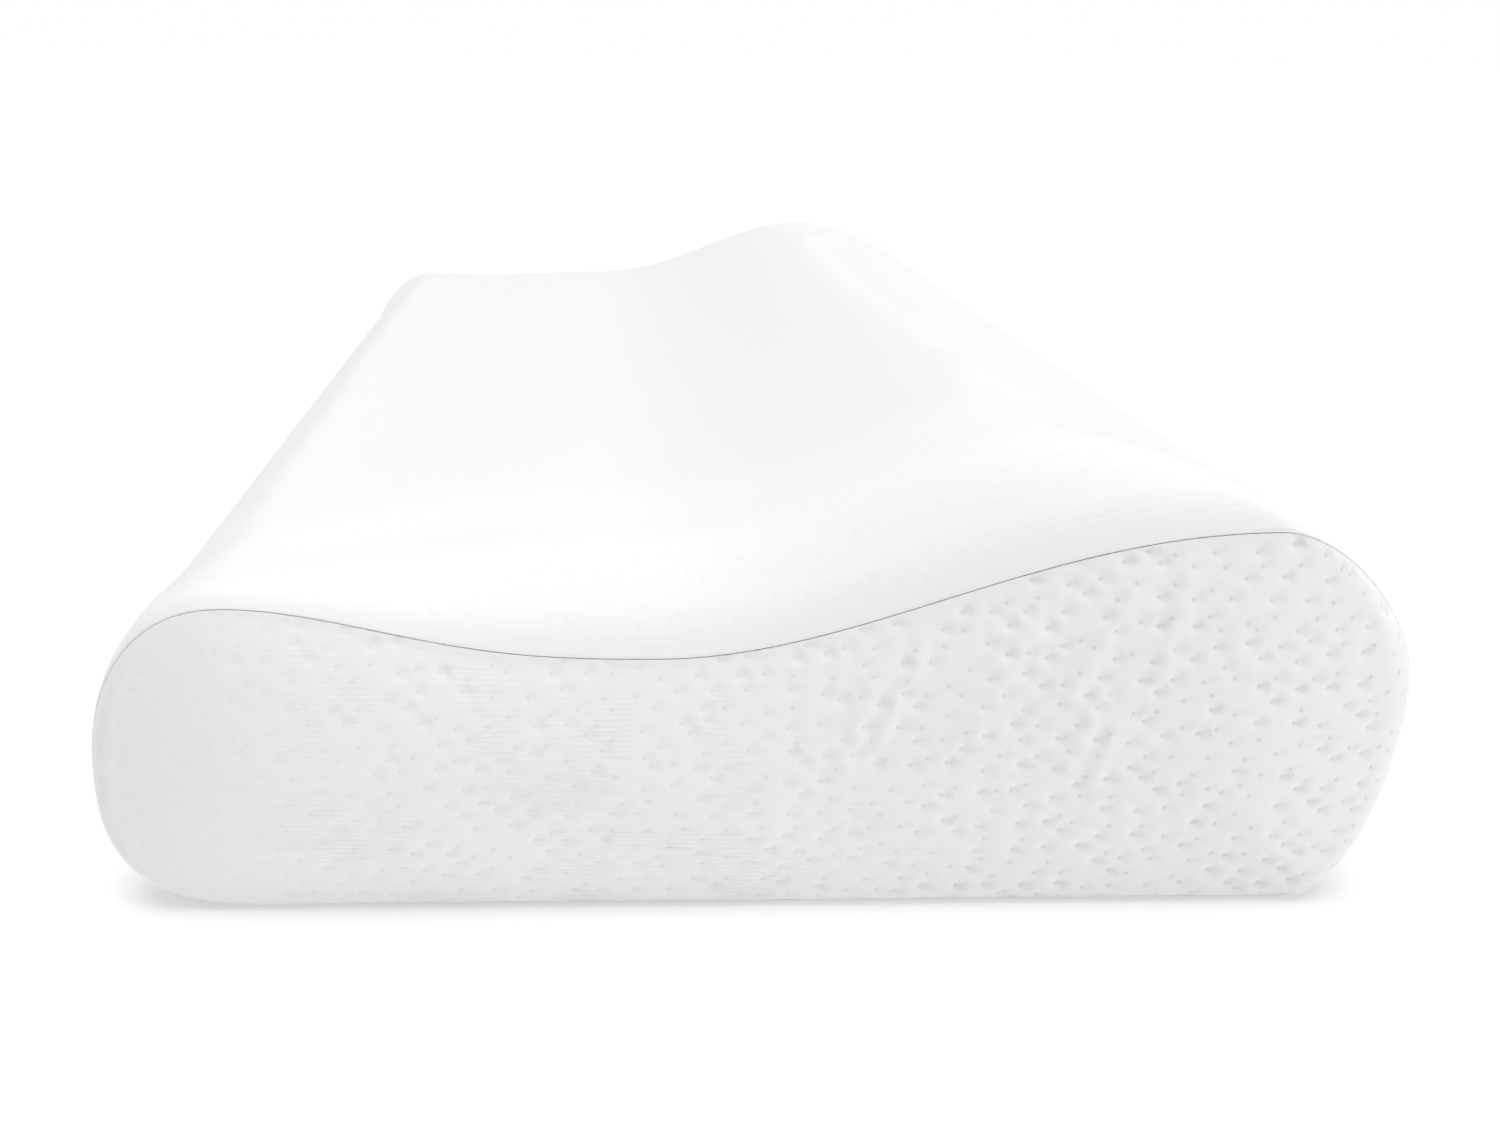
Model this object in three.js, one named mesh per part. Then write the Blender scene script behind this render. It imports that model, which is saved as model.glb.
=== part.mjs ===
// Contour neck pillow: a filled body in a knitted cover, with a sewn end panel at each end.
// Millimetres, +Z up. X runs across the pillow towards its high lobe, Y runs along its length,
// and the origin is on the surface that it lies on, under its middle.

import * as THREE from 'three';

// Overall sizes
const WIDTH = 300; // across, from side to side
const LENGTH = 500; // along, between the planes of the two ends
const FLAT_FROM = -111; // the flat underside starts here, below the low lobe
const FLAT_TO = 126.5; // and stops here, below the high lobe
const LOW_SIDE_Z = 33.5; // height of the widest point on the low side
const HIGH_SIDE_Z = 50.4; // height of the widest point on the high side

// Two cross-sections. At each end the cover is sewn down into the trough, and in between it bridges it.
// Tops are heights, X values say where across the pillow they are, and an ease of 1 is an even swell.
const SECTIONS = {
  end: {
    lowX: -117.5, lowTop: 78.7, lowEase: 1.4,
    troughX: -23, troughTop: 66.5,
    highX: 112, highTop: 95.4, highEase: 0.96,
  },
  middle: {
    lowX: -117, lowTop: 80, lowEase: 1,
    troughX: -33.5, troughTop: 84,
    highX: 67.5, highTop: 108.7, highEase: 1.08,
  },
};

// Squareness of the four corners: 2 is an ellipse, more is fuller and less is leaner
const LOW_BOTTOM_SQUARENESS = 2.74;
const LOW_TOP_SQUARENESS = 2;
const HIGH_TOP_SQUARENESS = 1.72;
const HIGH_BOTTOM_SQUARENESS = 2.16;

// The ends
const LEAD_IN = 30; // from an end's plane to where the cover has risen to its middle section
const EDGE_RADIUS = 6.3; // rounding between an end and the long faces
const HIGH_EDGE_RADIUS = 12; // the same on the high side, where the filling pushes out most
const SEAM_TURN_TOP = 70; // degrees round that rounding at which the seam lies, on top
const SEAM_TURN_SIDE = 20; // and on the sides and underneath
const SEAM_GROOVE = 1; // depth of the sewn groove, and half its width
const CLOTH = 2; // thickness of an end panel
const CLEARANCE = 0.3; // air between an end panel and the filled body
const FACE_TURN = 83; // where the rounding gives way to the crowned face of an end panel
const PANEL_CROWN = 3; // how far that face's middle stands out from its rim
const SPINE_REACH = 100; // the face falls away from a line half-way up, this far to each side

// How finely the faces are divided
const BOTTOM_STEPS = 6;
const CORNER_STEPS = 9;
const SLOPE_STEPS = 9;
const LONG_STEPS = 6;
const OUTER_TURN_SHARES = [0, 0.25, 0.5, 0.75, 1];
const INNER_TURN_SHARES = [0, 0.35, 0.7, 1];
const OUTER_FACE_SCALES = [0.15, 0.5, 0.8];
const INNER_FACE_SCALES = [0.15];
const LEAD_IN_SHARES = [0.2, 0.4, 0.7];

const { degToRad, radToDeg, lerp } = THREE.MathUtils;

// `count` points at even shares of a stretch, the last one left to the next stretch
function stretch(count, pointAt) {
  return Array.from({ length: count }, (_, k) => pointAt(k / count));
}

function swell(low, high, share, ease) {
  return low + ((high - low) * (1 - Math.cos(Math.PI * share ** ease))) / 2;
}

function signedPower(value, power) {
  return Math.sign(value) * Math.abs(value) ** power;
}

// A quarter of a superellipse, anticlockwise from `startDegrees`
function corner(centreX, centreZ, reachX, reachZ, squareness, startDegrees) {
  return stretch(CORNER_STEPS, (share) => {
    const angle = degToRad(startDegrees + 90 * share);
    const x = centreX + reachX * signedPower(Math.cos(angle), 2 / squareness);
    const z = centreZ + reachZ * signedPower(Math.sin(angle), 2 / squareness);
    return new THREE.Vector2(x, z);
  });
}

// Height of a section's top between the tops of its two lobes
function topAt({ lowX, lowTop, lowEase, troughX, troughTop, highX, highTop, highEase }, x) {
  if (x > troughX) {
    return swell(troughTop, highTop, (x - troughX) / (highX - troughX), highEase);
  }
  return swell(troughTop, lowTop, (troughX - x) / (troughX - lowX), lowEase);
}

function topStretch(section, fromX, toX) {
  return stretch(SLOPE_STEPS, (share) => {
    const x = lerp(fromX, toX, share);
    return new THREE.Vector2(x, topAt(section, x));
  });
}

// The closed cross-section, anticlockwise from the low end of the flat underside, as (x, z)
function crossSection(section) {
  const { lowX, lowTop, troughX, highX, highTop } = section;
  const side = WIDTH / 2;
  return [
    ...stretch(BOTTOM_STEPS, (share) => new THREE.Vector2(lerp(FLAT_FROM, FLAT_TO, share), 0)),
    ...corner(FLAT_TO, HIGH_SIDE_Z, side - FLAT_TO, HIGH_SIDE_Z, HIGH_BOTTOM_SQUARENESS, -90),
    ...corner(highX, HIGH_SIDE_Z, side - highX, highTop - HIGH_SIDE_Z, HIGH_TOP_SQUARENESS, 0),
    ...topStretch(section, highX, troughX),
    ...topStretch(section, troughX, lowX),
    ...corner(lowX, LOW_SIDE_Z, side + lowX, lowTop - LOW_SIDE_Z, LOW_TOP_SQUARENESS, 90),
    ...corner(FLAT_FROM, LOW_SIDE_Z, side + FLAT_FROM, LOW_SIDE_Z, LOW_BOTTOM_SQUARENESS, 180),
  ];
}

const endSection = crossSection(SECTIONS.end);
const middleSection = crossSection(SECTIONS.middle);

// What an end needs to know at each point round it
const stations = endSection.map((point, i) => {
  const next = endSection[(i + 1) % endSection.length];
  const last = endSection[(i + endSection.length - 1) % endSection.length];
  const out = new THREE.Vector2(next.y - last.y, last.x - next.x).normalize();
  const highSide = Math.max(out.x, 0) ** 2;
  const top = Math.max(out.y, 0) ** 1.5;
  return {
    end: point,
    middle: middleSection[i],
    out,
    radius: lerp(EDGE_RADIUS, HIGH_EDGE_RADIUS, highSide),
    seamTurn: lerp(SEAM_TURN_SIDE, SEAM_TURN_TOP, top),
  };
});

// The cover's section at a distance from the end's plane, before the edge is rounded
function coverAt(station, distance) {
  const left = 1 - Math.min(distance / LEAD_IN, 1);
  return station.end.clone().lerp(station.middle, 1 - left ** 2);
}

// A point on the rounded edge of the near end. `turn` goes from 0, facing sideways, to 90 degrees,
// facing along the pillow, and `depth` goes in from the outer face.
function edgePoint(station, turn, depth) {
  const angle = degToRad(turn);
  const outerY = station.radius * (1 - Math.sin(angle));
  const inset = station.radius * (1 - Math.cos(angle)) + depth * Math.cos(angle);
  const point = coverAt(station, outerY).addScaledVector(station.out, -inset);
  return new THREE.Vector3(point.x, outerY + depth * Math.sin(angle) - LENGTH / 2, point.y);
}

// The turn that is `arc` millimetres past the seam, towards the end panel
function turnPastSeam(station, arc, depth) {
  return station.seamTurn + radToDeg(arc / (station.radius - depth));
}

function seamRing(arc, depth) {
  return stations.map((station) => edgePoint(station, turnPastSeam(station, arc, depth), depth));
}

// Rings from the crowned face round to the seam, all at one depth
function panelEdgeRings(shares, arc, depth) {
  return shares.map((share) => {
    return stations.map((station) => {
      return edgePoint(station, lerp(FACE_TURN, turnPastSeam(station, arc, depth), share), depth);
    });
  });
}

// Rings of the long faces, from the seam to where the cover has risen to its middle section
function coverEdgeRings() {
  const edge = OUTER_TURN_SHARES.map((share) => {
    return stations.map((station) => {
      return edgePoint(station, lerp(turnPastSeam(station, -SEAM_GROOVE, 0), 0, share), 0);
    });
  });
  const leadIn = LEAD_IN_SHARES.map((share) => {
    return stations.map((station) => {
      const distance = lerp(station.radius, LEAD_IN, share);
      const point = coverAt(station, distance);
      return new THREE.Vector3(point.x, distance - LENGTH / 2, point.y);
    });
  });
  return [...edge, ...leadIn];
}

// A point of the crowned face of the near end, on its way from the face's rim, at scale 1, to the
// line half-way up the face, at scale 0
function facePoint(station, scale, depth) {
  const rim = edgePoint(station, FACE_TURN, depth);
  const spineX = THREE.MathUtils.clamp(rim.x, -SPINE_REACH, SPINE_REACH);
  const spineZ = topAt(SECTIONS.end, spineX) / 2;
  const crown = PANEL_CROWN * (1 - scale ** 2);
  return new THREE.Vector3(lerp(spineX, rim.x, scale), rim.y - crown, lerp(spineZ, rim.z, scale));
}

function faceRings(scales, depth) {
  return scales.map((scale) => stations.map((station) => facePoint(station, scale, depth)));
}

// The middle of the crowned face
function faceMiddle(depth) {
  const rimY = edgePoint(stations[0], FACE_TURN, depth).y;
  return new THREE.Vector3(0, rimY - PANEL_CROWN, topAt(SECTIONS.end, 0) / 2);
}

function farPoint(point) {
  return new THREE.Vector3(point.x, -point.y, point.z);
}

// The same rings at the far end, in the order that keeps their faces outwards
function farEnd(rings) {
  return rings.map((ring) => ring.map(farPoint)).reverse();
}

// A closed solid from rings of equally many points, closed by a fan at each end
function loft(firstMiddle, rings, lastMiddle) {
  const around = rings[0].length;
  const points = [firstMiddle, ...rings.flat(), lastMiddle];
  const at = (ring, k) => 1 + ring * around + (k % around);
  const triangles = [];
  for (let k = 0; k < around; k += 1) {
    triangles.push(0, at(0, k), at(0, k + 1));
    for (let ring = 0; ring < rings.length - 1; ring += 1) {
      triangles.push(at(ring, k), at(ring + 1, k), at(ring, k + 1));
      triangles.push(at(ring + 1, k), at(ring + 1, k + 1), at(ring, k + 1));
    }
    triangles.push(points.length - 1, at(rings.length - 1, k + 1), at(rings.length - 1, k));
  }
  const geometry = new THREE.BufferGeometry().setFromPoints(points);
  geometry.setIndex(triangles);
  geometry.computeVertexNormals();
  return geometry;
}

// The filling in its knitted wrap, stepped in at each end to take an end panel
function bodyGeometry() {
  const depth = CLOTH + CLEARANCE;
  const nearEnd = [
    ...faceRings(INNER_FACE_SCALES, depth),
    ...panelEdgeRings(INNER_TURN_SHARES, 0, depth),
    seamRing(0, SEAM_GROOVE),
    ...coverEdgeRings(),
  ];
  const long = Array.from({ length: LONG_STEPS + 1 }, (_, k) => {
    const y = lerp(LEAD_IN - LENGTH / 2, LENGTH / 2 - LEAD_IN, k / LONG_STEPS);
    return middleSection.map((point) => new THREE.Vector3(point.x, y, point.y));
  });
  const middle = faceMiddle(depth);
  return loft(middle, [...nearEnd, ...long, ...farEnd(nearEnd)], farPoint(middle));
}

// One end panel: a crowned sheet whose rim curls round the edge to the seam
function panelGeometry(isFar) {
  const rings = [
    ...faceRings(OUTER_FACE_SCALES, 0),
    ...panelEdgeRings(OUTER_TURN_SHARES, CLEARANCE + SEAM_GROOVE, 0),
    seamRing(CLEARANCE, SEAM_GROOVE),
    ...panelEdgeRings(INNER_TURN_SHARES, CLEARANCE, CLOTH).reverse(),
    ...faceRings(INNER_FACE_SCALES, CLOTH),
  ];
  const outerMiddle = faceMiddle(0);
  const innerMiddle = faceMiddle(CLOTH);
  if (!isFar) {
    return loft(outerMiddle, rings, innerMiddle);
  }
  return loft(farPoint(innerMiddle), farEnd(rings), farPoint(outerMiddle));
}

function piece(name, geometry, colour) {
  const material = new THREE.MeshStandardMaterial({ color: colour, roughness: 0.9, metalness: 0 });
  const mesh = new THREE.Mesh(geometry, material);
  mesh.name = name;
  return mesh;
}

const pillow = new THREE.Group();
pillow.add(piece('pillow_body', bodyGeometry(), '#f7f8f9'));
pillow.add(piece('end_panel_front', panelGeometry(false), '#eeefef'));
pillow.add(piece('end_panel_back', panelGeometry(true), '#eeefef'));

export default pillow;
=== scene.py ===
"""Contour neck pillow: a filled body in a white jacquard knit wrap, with a sewn knit panel at each end.

Sizes are in millimetres, as in the frame's own plan, and a mesh is scaled to metres when it is made.
Angles are in degrees.
X runs across the pillow towards its high lobe, Y along it towards the far end, and Z is up.
"""

import math

import bmesh
import bpy
import numpy as np
from mathutils import Matrix, Vector


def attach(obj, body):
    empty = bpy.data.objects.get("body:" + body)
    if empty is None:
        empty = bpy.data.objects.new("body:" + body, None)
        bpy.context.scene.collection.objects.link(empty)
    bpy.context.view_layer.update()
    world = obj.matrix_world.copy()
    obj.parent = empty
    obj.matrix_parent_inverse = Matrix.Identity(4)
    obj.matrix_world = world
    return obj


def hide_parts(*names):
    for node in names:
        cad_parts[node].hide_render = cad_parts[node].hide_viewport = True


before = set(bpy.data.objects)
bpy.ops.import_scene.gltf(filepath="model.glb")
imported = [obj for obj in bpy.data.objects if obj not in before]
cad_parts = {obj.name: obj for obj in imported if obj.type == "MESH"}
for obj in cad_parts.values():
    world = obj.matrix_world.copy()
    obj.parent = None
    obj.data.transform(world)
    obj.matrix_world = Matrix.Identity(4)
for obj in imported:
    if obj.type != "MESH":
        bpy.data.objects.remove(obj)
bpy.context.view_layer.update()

MM = 0.001  # one millimetre in metres

# Form of the pillow, as in the solids
WIDTH = 300  # across, from side to side
LENGTH = 500  # along, between the planes of the two ends
FLAT_FROM = -111  # the flat underside starts here, below the low lobe
FLAT_TO = 126.5  # and stops here, below the high lobe
LOW_SIDE_Z = 33.5  # height of the widest point on the low side
HIGH_SIDE_Z = 50.4  # height of the widest point on the high side
END = {
    "low_x": -117.5, "low_top": 78.7, "low_ease": 1.4,
    "trough_x": -23, "trough_top": 66.5,
    "high_x": 112, "high_top": 95.4, "high_ease": 0.96,
}
MIDDLE = {
    "low_x": -117, "low_top": 80, "low_ease": 1,
    "trough_x": -33.5, "trough_top": 84,
    "high_x": 67.5, "high_top": 108.7, "high_ease": 1.08,
}
LOW_BOTTOM_SQUARENESS = 2.74  # of the four corners: 2 is an ellipse, more is fuller
LOW_TOP_SQUARENESS = 2
HIGH_TOP_SQUARENESS = 1.72
HIGH_BOTTOM_SQUARENESS = 2.16
LEAD_IN = 30  # from an end's plane to where the cover has risen to its middle section
EDGE_RADIUS = 6.3  # rounding between an end and the long faces
HIGH_EDGE_RADIUS = 12  # the same on the high side, where the filling pushes out most
SEAM_TURN_TOP = 70  # degrees round that rounding at which the seam lies, on top
SEAM_TURN_SIDE = 20  # and on the sides and underneath
FACE_TURN = 83  # where the rounding gives way to the crowned face of an end panel
PANEL_CROWN_X = (-105, -40, 20, 105)  # at these places along the line half-way up that face,
PANEL_CROWN = (6, 5, 4, 5.5)  # it stands out this far from its rim
SPINE_SHARE = 0.7  # the face falls away from a line half-way up, this share of the face's width

# Cloth and sewing
CLOTH = 2  # thickness of the padded knit
CLEARANCE = 0.3  # air between an end panel and the filling behind it
WRAP_ROLL = 0.22  # radius with which the wrap turns down into the seam
PANEL_ROLL = 0.12  # and with which an end panel does
SEAM_LIP = 0.12  # how far the wrap's last course stands up over the seam
LIP_WIDTH = 0.6  # from there back to where it lies at its usual height
SEAM_GAP = 0.1  # between the two cloths at the seam
STITCH_PITCH = 3
STITCH_LENGTH = 1.4  # of the thread across the seam, its ends drawn into the two cloths
STITCH_DEPTH = 0.4  # below the cloth's face
THREAD_RADIUS = 0.15
THREAD_TWIST = 0.25  # from one turn of the thread's twist to the next

# Knit. Dimples lie staggered: each row is shifted sideways by one column, half of a row's own spacing.
WRAP_STATIONS = 380  # points round the wrap, two to a column
WRAP_RINGS = 140  # rings along the wrap, one to a row
COLUMN = 4
ROW = LENGTH / WRAP_RINGS
SPACING = math.hypot(COLUMN, ROW)  # between two neighbouring dimples
DIMPLE_SCATTER = 0.6  # how far the dimples stray, as a share of that
DIMPLE_ASIDE = (0.8, 0.2)  # across and up, from a dimple's tight prick to the middle of its hollow
SHALLOWEST = 0.3  # the shallowest dimple has this share of its cloth's Depth,
DEPTH_VARIETY = 1.4  # and chance adds up to this share
# How far a dimple's hollow reaches, and how deep it is on average
WRAP_DIMPLES = {"Reach": 2 * MM, "Depth": 0.05 * MM}
PANEL_DIMPLES = {"Reach": 1.5 * MM, "Depth": 0.55 * MM}
WRAP_FADE = 3  # the wrap's dimples are whole one third of the way from the seam over the rounded edge
PANEL_FADE = 4  # and a panel's until one quarter of the way from its face to the seam is left
PRICK_REACH = 0.4  # the prick is where the jacquard ties the knit's two faces together
PRICK_DEPTH = 0.2
COURSE = 1.2  # from one fine rib to the next
RIB_HEIGHT = 0.07  # on average
RIB_SLOPE = 0.03  # the ribs run down to the right by this share
RIB_STEP = 0.2  # at most, between two patches of ribs
RIB_COLUMN = 12  # the patches lie staggered as the dimples do, but this far apart across
RIB_PATCH = 28  # size of the areas in which the ribs come and go,
RIB_AREAS = (0.4, 0.6)  # from faint to plain between these levels of their noise
FAINT_RIBS = 0.1  # share of their height that faint ribs have

WRAP_KNIT = (0.15, 0.15)  # how plain the dimples and the ribs are on the wrap
PLAINNESS_X = (-125, -80, 10, 60, 110)  # on an end panel, along X from the low side to the high side,
PANEL_DIMPLES_AT = (0.2, 0.5, 0.6, 0.9, 1)  # this is how plain the dimples are
PANEL_RIBS_AT = (0.1, 1, 0.65, 0.25, 0.15)  # and the ribs,
RIBS_FADE_Z = (38, 58)  # which fade between these heights
RIBS_ABOVE = 0.25  # to this share

# Soft ridges of the near panel's cloth, drawn up by the filling: ends as (x, z), half width and height
RIDGES = [
    {"from": (24.6, 44.6), "to": (33.4, 64.5), "width": 1.8, "height": 0.5},
    {"from": (17, 38), "to": (24, 60), "width": 2.5, "height": 0.38},
    {"from": (65.5, 55), "to": (79.3, 81), "width": 2.2, "height": 0.54},
    {"from": (67, 38.5), "to": (73, 54.5), "width": 2, "height": 0.42},
    {"from": (74, 36), "to": (77, 48), "width": 1.8, "height": 0.41},
    {"from": (86, 62), "to": (91, 84), "width": 2.5, "height": 0.41},
    {"from": (46, 48), "to": (56, 70), "width": 3, "height": 0.38},
]
GATHER_PITCH = 5.2  # small upright folds under the seam beside the trough
GATHER_HEIGHT = 0.15
GATHER_LENGTH = 15
GATHER_MIDDLE = 35  # where along X they are plainest
GATHER_SPREAD = 30
GATHER_SWAY = 1.3  # how far the folds stray sideways
SWAY_LENGTH = 9  # along X, for each radian of that slow stray
RIM_STILL = 12  # power by which ridges and gathers die out towards the rim

DIMPLE_LATTICE = {"Column": COLUMN * MM, "Row": ROW * MM}
STITCH_SIZES = {
    "Pitch": STITCH_PITCH * MM, "Thread radius": THREAD_RADIUS * MM, "Length": STITCH_LENGTH * MM,
}

# Finishes
COVER_WHITE = "#F0F0F0"
# painted shade: grey mixed into the white at each dimple's prick, where the hollow lies in shade
PRICK_PAINTED_SHADE = "#D0D1D2"
COVER_ROUGHNESS = 0.9
COVER_SHEEN = 0.15
COVER_SPECULAR = 0.2
THREAD_WHITE = "#F1F2F3"
THREAD_ROUGHNESS = 0.6
TWIST_DEPTH = 0.02  # of the grooves between the thread's plies
TWIST_STRENGTH = 0.3

# Studio: how strongly its backdrop, softboxes and table shine, and how wide the softboxes look
WALL = 0.03  # high up on the backdrop
LOW_WALL = 0.3  # and low down,
WALL_TURNS_AT = (0.05, 0.1)  # with the change between these sines of the height above the horizon
LEFT_WALL = 0.5  # added at its far left, and less and less towards the middle
OVERHEAD = 2.8
OVERHEAD_WIDTH = 60
FROM_RIGHT = 1.2
RIGHT_WIDTH = 30
RIGHT_TOWARD = (1, -0.45, 0.36)  # where it stands, seen from the pillow
FLOOR_GREY = "#DCDCDC"
# painted light: how strongly the table glows, lightening the shadows on it
FLOOR_GLOW = 0.3
FLOOR_REACH = 60  # in metres, from the middle to each side

# Camera, fitted to the photograph's outline and seam
CAMERA_TURN = (2.17, 19.85, 0.60)  # to the right, down, and its right side up
CAMERA_PLACE = (-0.0393, -0.5559, 0.1872)  # in metres
SENSOR_WIDTH = 36
LENS = 36.39
LENS_SHIFT = (0.0733, 0.025)  # as a share of the frame's width
CLIP_START = 0.02  # in metres

# Settling of the wrap on its filling
CAGE_STEP = 2  # the simulated cloth has every second ring and station
SETTLE_FRAMES = 20
SETTLE_PRESSURE = 4
SETTLE_FROM = 0.8  # the cloth starts this far inside its form
SETTLE_UNEVEN = 0.5  # more or less, as the filling is uneven
SETTLE_CAP = 2  # no point moves further than this from its form
SETTLE_EASE = 25  # it moves freely only this far from the rounding at a seam
SETTLE_SEED = 7
HELD_ROWS = 3  # rows held at each end: two hidden ones and the first that shows
LYING_BELOW = 1  # below this height the cloth lies on what the pillow rests on
SWELL_TURNS = range(2, 9)  # waves round the wrap that make up the unevenness
SWELL_DRIFT = 9  # radians by which such a wave may turn from one end to the other
SWELL_HEIGHT = 0.25  # of each wave, where 1 is the most that all of them reach

# How finely the cloth is divided
SECTION_SHARES = np.linspace(0, 1, 200, endpoint=False)
BACK_SCALES = (0.01, 0.5)  # rings of a hidden back, from the slit at its middle outwards
INNER_SHARES = (0, 0.5, 1)  # rings from there round the hidden rim to the seam
ROLL_TURNS = (0, 25, 50, 75)  # rings of the roll in which a cloth turns down into the seam
HIDDEN_RINGS = len(BACK_SCALES) + len(INNER_SHARES) + len(ROLL_TURNS)  # of the wrap at each end
RIM_SHARES = np.linspace(0, 1, 10)[1:]  # rings of an end panel from its face round its rim to the seam
EDGE_RINGS = 6  # rings of the wrap along an end that leave the even spacing
PANEL_STATIONS = 1080
PANEL_SCALES = np.linspace(0.012, 1, 60)


def swell(low, high, share, ease):
    """A rise from `low` to `high` that starts and ends level."""
    return low + (high - low) * (1 - np.cos(np.pi * share ** ease)) / 2


def top_at(section, x):
    """Height of a section's top between the tops of its two lobes."""
    trough_x = section["trough_x"]
    to_high = np.clip((x - trough_x) / (section["high_x"] - trough_x), 0, 1)
    to_low = np.clip((trough_x - x) / (trough_x - section["low_x"]), 0, 1)
    high_slope = swell(section["trough_top"], section["high_top"], to_high, section["high_ease"])
    low_slope = swell(section["trough_top"], section["low_top"], to_low, section["low_ease"])
    return np.where(x > trough_x, high_slope, low_slope)


def corner(centre_x, centre_z, reach_x, reach_z, squareness, start):
    """A quarter of a superellipse, anticlockwise from `start` degrees."""
    angle = np.radians(start + 90 * SECTION_SHARES)
    across, up = np.cos(angle), np.sin(angle)
    x = centre_x + reach_x * np.sign(across) * np.abs(across) ** (2 / squareness)
    z = centre_z + reach_z * np.sign(up) * np.abs(up) ** (2 / squareness)
    return np.column_stack([x, z])


def top_stretch(section, from_x, to_x):
    x = from_x + (to_x - from_x) * SECTION_SHARES
    return np.column_stack([x, top_at(section, x)])


def cross_section(section):
    """The closed cross-section, anticlockwise from the middle of the flat underside, as (x, z)."""
    side = WIDTH / 2
    low_x, high_x, trough_x = section["low_x"], section["high_x"], section["trough_x"]
    low_rise = section["low_top"] - LOW_SIDE_Z
    high_rise = section["high_top"] - HIGH_SIDE_Z
    flat = FLAT_FROM + (FLAT_TO - FLAT_FROM) * SECTION_SHARES
    points = np.vstack([
        np.column_stack([flat, np.zeros_like(flat)]),
        corner(FLAT_TO, HIGH_SIDE_Z, side - FLAT_TO, HIGH_SIDE_Z, HIGH_BOTTOM_SQUARENESS, -90),
        corner(high_x, HIGH_SIDE_Z, side - high_x, high_rise, HIGH_TOP_SQUARENESS, 0),
        top_stretch(section, high_x, trough_x),
        top_stretch(section, trough_x, low_x),
        corner(low_x, LOW_SIDE_Z, side + low_x, low_rise, LOW_TOP_SQUARENESS, 90),
        corner(FLAT_FROM, LOW_SIDE_Z, side + FLAT_FROM, LOW_SIDE_Z, LOW_BOTTOM_SQUARENESS, 180),
    ])
    return np.roll(points, -len(SECTION_SHARES) // 2, axis=0)


class Stations:
    """Evenly spaced places round an end, each with what the end needs to know there."""

    def __init__(self, count):
        end, middle = cross_section(END), cross_section(MIDDLE)
        steps = np.linalg.norm(np.roll(end, -1, axis=0) - end, axis=1)
        along = np.concatenate([[0], np.cumsum(steps)])
        self.count = count
        self.perimeter = along[-1]
        self.around = self.perimeter * np.arange(count) / count
        self.end = self.pick(end, along)
        self.middle = self.pick(middle, along)
        ahead = np.roll(self.end, -1, axis=0) - np.roll(self.end, 1, axis=0)
        out = np.column_stack([ahead[:, 1], -ahead[:, 0]])
        self.out = out / np.linalg.norm(out, axis=1)[:, None]
        high_side = np.maximum(self.out[:, 0], 0) ** 2
        top = np.maximum(self.out[:, 1], 0) ** 1.5
        self.radius = EDGE_RADIUS + (HIGH_EDGE_RADIUS - EDGE_RADIUS) * high_side
        self.seam_turn = SEAM_TURN_SIDE + (SEAM_TURN_TOP - SEAM_TURN_SIDE) * top

    def pick(self, points, along):
        closed = np.vstack([points, points[:1]])
        return np.column_stack([np.interp(self.around, along, closed[:, axis]) for axis in (0, 1)])

    def cover_at(self, distance):
        """The cover's section at a distance from the end's plane, before the edge is rounded."""
        left = 1 - np.minimum(distance / LEAD_IN, 1)
        share = (1 - left ** 2 * np.ones(self.count))[:, None]
        return self.end * (1 - share) + self.middle * share

    def edge(self, turn, depth):
        """The ring of the near end's rounded edge at `turn` degrees, `depth` in from the outside."""
        angle = np.radians(turn) * np.ones(self.count)
        outer_y = self.radius * (1 - np.sin(angle))
        inset = self.radius * (1 - np.cos(angle)) + depth * np.cos(angle)
        point = self.cover_at(outer_y) - self.out * inset[:, None]
        return np.column_stack([point[:, 0], outer_y + depth * np.sin(angle) - LENGTH / 2, point[:, 1]])

    def past_seam(self, arc):
        """The turn that is `arc` millimetres past the seam, towards the end panel."""
        return self.seam_turn + np.degrees(arc / self.radius)

    def face(self, scale, depth):
        """The ring of the crowned face at `scale`, from 1 at the rim to 0 at the line half-way up."""
        rim = self.edge(FACE_TURN, depth)
        spine_x = rim[:, 0] * SPINE_SHARE
        spine_z = top_at(END, spine_x) / 2
        crown = np.interp(spine_x, PANEL_CROWN_X, PANEL_CROWN) * (1 - scale ** 2)
        x = spine_x + (rim[:, 0] - spine_x) * scale
        z = spine_z + (rim[:, 2] - spine_z) * scale
        return np.column_stack([x, rim[:, 1] - crown, z])


def seam_roll(toward, radius):
    """How a cloth turns down into the seam: (arc past the seam, depth) from the bottom up.
    `toward` is 1 for the end panel and -1 for the wrap."""
    return [
        (toward * (SEAM_GAP / 2 + radius * (1 - math.cos(turn))), radius * (1 - math.sin(turn)))
        for turn in np.radians(ROLL_TURNS)
    ]


class Grid:
    """Rings of equally many points, each point with its place on the flat cloth and its share of the
    dimples and of the ribs."""

    def __init__(self):
        self.rings, self.flats, self.dimples, self.ribs = [], [], [], []

    def add(self, points, flat, dimples, ribs=1):
        self.rings.append(points)
        self.flats.append(flat)
        self.dimples.append(dimples * np.ones(len(points)))
        self.ribs.append(ribs * np.ones(len(points)))

    def mirrored(self, flat_length=None):
        """The same rings at the far end, in the order that keeps their faces outwards."""
        far = Grid()
        rings = list(zip(self.rings, self.flats, self.dimples, self.ribs))
        for points, flat, dimples, ribs in reversed(rings):
            place = flat * [-1, 1] if flat_length is None else [0, flat_length] + flat * [1, -1]
            far.add(points * [1, -1, 1], place, dimples, ribs)
        return far

    def extend(self, other):
        self.rings += other.rings
        self.flats += other.flats
        self.dimples += other.dimples
        self.ribs += other.ribs


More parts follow.
